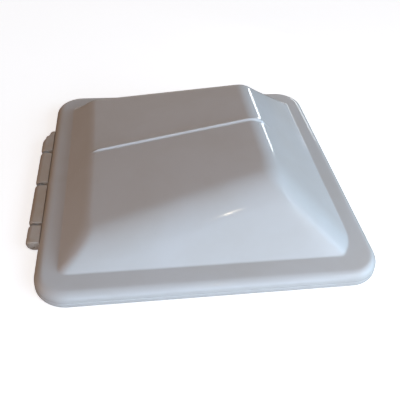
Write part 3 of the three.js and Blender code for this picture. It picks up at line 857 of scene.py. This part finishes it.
def rim_seal():
    """Foam ring with softened corners and a slightly uneven, pressed face."""
    half = (SEAL_HIGH.y - SEAL_LOW.y) / 2 / MM
    low, high = SEAL_LOW.z / MM, SEAL_HIGH.z / MM
    middle = half - SEAL_WIDE / 2
    corner = LID_CORNER_R - (LID_HALF - half) - SEAL_WIDE / 2
    line = []
    per_arc, per_side = 20, 90
    for quarter in range(4):
        a0 = quarter * math.pi / 2
        centre = (middle - corner) * math.sqrt(2) * outward(a0 + math.pi / 4)
        for i in range(per_arc):
            a = a0 + math.pi / 2 * i / per_arc
            line.append((*(centre + corner * outward(a)), *outward(a)))
        a = a0 + math.pi / 2
        start = centre + corner * outward(a)
        ahead = np.array([-math.sin(a), math.cos(a)])
        for i in range(per_side):
            line.append((*(start + ahead * 2 * (middle - corner) * i / per_side), *outward(a)))
    line = np.array(line)
    w, h, r = SEAL_WIDE / 2, (high - low) / 2, 1.3
    section = []
    middles = (w - r, h - r), (-w + r, h - r), (-w + r, -h + r), (w - r, -h + r)
    for (cx, cz), a0 in zip(middles, (0, 90, 180, 270)):
        for i in range(5):
            a = math.radians(a0 + 90 * i / 4)
            section.append((cx + r * math.cos(a), cz + r * math.sin(a)))
    section = np.array(section)
    count, n = len(line), len(section)
    rng = np.random.default_rng(4)
    sag = np.zeros(count)
    for wave in (3, 7, 13, 29):
        sag += np.sin(np.arange(count) / count * 2 * math.pi * wave + rng.uniform(0, 6)) * 0.12
    across = section[None, :, 0]
    lower = np.where(section[:, 1] < 0, 1.0, 0.0)
    z = (low + high) / 2 + section[None, :, 1] + (0.35 + sag[:, None]) * lower * 0.8
    x = line[:, None, 0] + line[:, None, 2] * across
    y = line[:, None, 1] + line[:, None, 3] * across
    points = np.stack([x, y, z + 0 * x], axis=2).reshape(-1, 3)
    faces = []
    for i in range(count):
        j = (i + 1) % count
        for k in range(n):
            m = (k + 1) % n
            faces.append((i * n + k, j * n + k, j * n + m, i * n + m))
    made = new_object("foam_rim_seal", points, faces)
    finish_piece(made, "lid", "seal_foam", "rim_seal")


# ------------------------------------------------------------------------------------- stage


FLOOR_BOUNCE = (0.42, 0.36, 0.31)  # what the floor reflects onto the object, warmer than it looks


def make_floor():
    mesh = bpy.data.meshes.new("floor")
    size = 6
    mesh.from_pydata([(x, y, 0) for x, y in rectangle(size, size)], [], [(0, 1, 2, 3)])
    floor = bpy.data.objects.new("floor", mesh)
    bpy.context.scene.collection.objects.link(floor)
    paint = Paint("floor", Roughness=0.9)
    paint.shader.inputs["Specular IOR Level"].default_value = 0.1
    tone = paint.span(paint.noise(2, 3), 0.3, 0.7)
    seen = paint.add("LightPath").outputs["Is Camera Ray"]
    pale = paint.mix(tone, (0.90, 0.90, 0.90), (0.87, 0.87, 0.875))
    paint.set("Base Color", paint.mix(seen, FLOOR_BOUNCE, pale))
    paint.shader.inputs["Emission Color"].default_value = (1, 1, 1, 1)
    paint.set("Emission Strength", paint.math("MULTIPLY", seen, 0.7))
    mesh.materials.append(paint.material)


def area_light(name, place, aim, size, power, colour, spread=180):
    """Rectangular light that no camera sees; power is in watts and spread in degrees."""
    data = bpy.data.lights.new(name, "AREA")
    data.shape = "RECTANGLE"
    data.size, data.size_y = size
    data.energy = power
    data.color = colour
    lamp = bpy.data.objects.new(name, data)
    lamp.location = place
    lamp.visible_camera = False
    data.spread = math.radians(spread)
    lamp.rotation_euler = (Vector(aim) - Vector(place)).to_track_quat("-Z", "Y").to_euler()
    bpy.context.scene.collection.objects.link(lamp)


def direction(azimuth, elevation):
    """Unit vector; azimuth 0 is -Y, in front of the object, and 90 is +X."""
    a, e = math.radians(azimuth), math.radians(elevation)
    return Vector((math.sin(a) * math.cos(e), -math.cos(a) * math.cos(e), math.sin(e)))


FILL = (0.1, 0.085, 0.08)
# The numbers in the colours of SOFT_LIGHTS and LOW_PANELS were not chosen by eye. A separate
# program fitted them to the photo's colours by least squares, and they were then rounded and
# adjusted a little by hand. Only FILL and the light at azimuth 180 were given one by one, not
# fitted.
SOFT_LIGHTS = [  # azimuth, elevation, sharpness, colour
    (60, 4, 14, (1.97, 2.74, 3.6)),
    (90, 4, 14, (0.05, 0.75, 1.4)),
    (90, 20, 14, (0.68, 0.82, 0.95)),
    (180, 8, 14, (0.9, 0.86, 0.84)),
    (270, 8, 14, (0.84, 0.62, 0.41)),
    (270, 40, 14, (0.25, 0.09, 0.03)),
    (0, 90, 5, (0.085, 0.04, 0.01)),
]
LOW_PANELS = [  # azimuth, height, size, watts of each colour
    (-30, 0.35, (0.8, 0.45), (0.155, 0.155, 0.18)),
    (0, 0.12, (0.8, 0.2), (0.86, 1.06, 1.32)),
    (30, 0.35, (0.8, 0.45), (0.59, 0.7, 0.86)),
    (60, 0.35, (0.8, 0.45), (1.31, 1.54, 1.82)),
]
PANEL_DISTANCE = 0.7
BACKDROP = (0.95, 0.96, 0.97)  # what the camera sees behind the object


def make_world():
    """Dim warm room with soft bluish light from low on the front right."""
    world = bpy.data.worlds.new("studio")
    world.use_nodes = True
    nodes, links = world.node_tree.nodes, world.node_tree.links

    def add(kind, operation, *values):
        node = nodes.new("ShaderNode" + kind)
        node.operation = operation
        for slot, value in enumerate(values):
            if isinstance(value, bpy.types.NodeSocket):
                links.new(value, node.inputs[slot])
            else:
                node.inputs[slot].default_value = value
        return node

    ray = nodes.new("ShaderNodeTexCoord").outputs["Generated"]
    total = FILL
    for azimuth, elevation, sharpness, colour in SOFT_LIGHTS:
        towards = direction(azimuth, elevation)
        along = add("VectorMath", "DOT_PRODUCT", ray, towards).outputs["Value"]
        falloff = add("Math", "MULTIPLY_ADD", along, sharpness, -sharpness).outputs[0]
        lobe = add("Math", "EXPONENT", falloff).outputs[0]
        scaled = add("VectorMath", "SCALE", colour)
        links.new(lobe, scaled.inputs["Scale"])
        total = add("VectorMath", "ADD", total, scaled.outputs[0]).outputs[0]
    backdrop = nodes.new("ShaderNodeMix")
    backdrop.data_type = "RGBA"
    links.new(nodes.new("ShaderNodeLightPath").outputs["Is Camera Ray"], backdrop.inputs[0])
    links.new(total, backdrop.inputs[6])
    backdrop.inputs[7].default_value = (*BACKDROP, 1)
    links.new(backdrop.outputs[2], nodes["Background"].inputs["Color"])
    bpy.context.scene.world = world


def make_light():
    make_world()
    for azimuth, height, size, watts in LOW_PANELS:
        place = direction(azimuth, 0) * PANEL_DISTANCE + Vector((0, 0, height))
        power = max(watts)
        area_light("panel", place, (0, 0, 0.04), size, power, [w / power for w in watts])
    over_lid = Vector((0, 0, 0.33))  # the beam passes over the closed lid and lights the raised one
    beam = direction(245, 0) * 1.4 + over_lid
    aim = Vector((-0.1, 0, 0)) + over_lid
    area_light("beam", beam, aim, (0.5, 0.3), 0.35, (1.0, 0.98, 0.95), spread=6)
    # A window behind the right draws the streak along the dome's high edge.
    place, aim = (0.365, 0.382, 0.125), (0.095, 0.02, 0.09)
    area_light("window", place, aim, (0.16, 0.05), 0.15, (0.93, 0.97, 1.0))
    # A small warm lamp draws the highlight on the front face. Its direction is the mirror of the
    # camera in that face, which a separate program worked out.
    aim = Vector((0.0258, -0.1355, 0.056))
    place = aim + Vector((0.14, -0.592, 0.794)) * 2.2
    area_light("lamp", place, aim, (0.014, 0.03), 0.6, (1.0, 0.84, 0.64))


# ------------------------------------------------------------------------------------- assembly

shell_points, shell_faces = lid_shell_mesh()
lid = new_object("lid", shell_points, shell_faces)
join(lid, lid_barrels() + lid_bosses())
finish_piece(lid, "lid", "lid_plastic", "lid_shell")
rim_seal()

dress_node("hinge_pin", "bright_steel")
dress_node("pin_cap_front", "lid_plastic", 0.2)
dress_node("pin_cap_back", "lid_plastic", 0.2)
dress_node("hinge_strap", "zinc_steel", 0.35)
dress_node("lift_track", "zinc_steel", 0.35)
for number in (1, 2, 3, 4):
    dress_node(f"track_washer_{number}", "bright_steel", 0.15)
    dress_node(f"track_screw_{number}", "bright_steel", 0.2)
dress_node("track_stop_low", "black_plastic", 0.4)
dress_node("track_stop_high", "black_plastic", 0.4)
dress_node("slide_shoe", "nylon", 0.4)
dress_node("shoe_pin", "bright_steel", 0.15)
dress_node("shoe_clip", "bright_steel", 0.15)

make_floor()
make_light()
bpy.context.scene.view_settings.view_transform = "Standard"
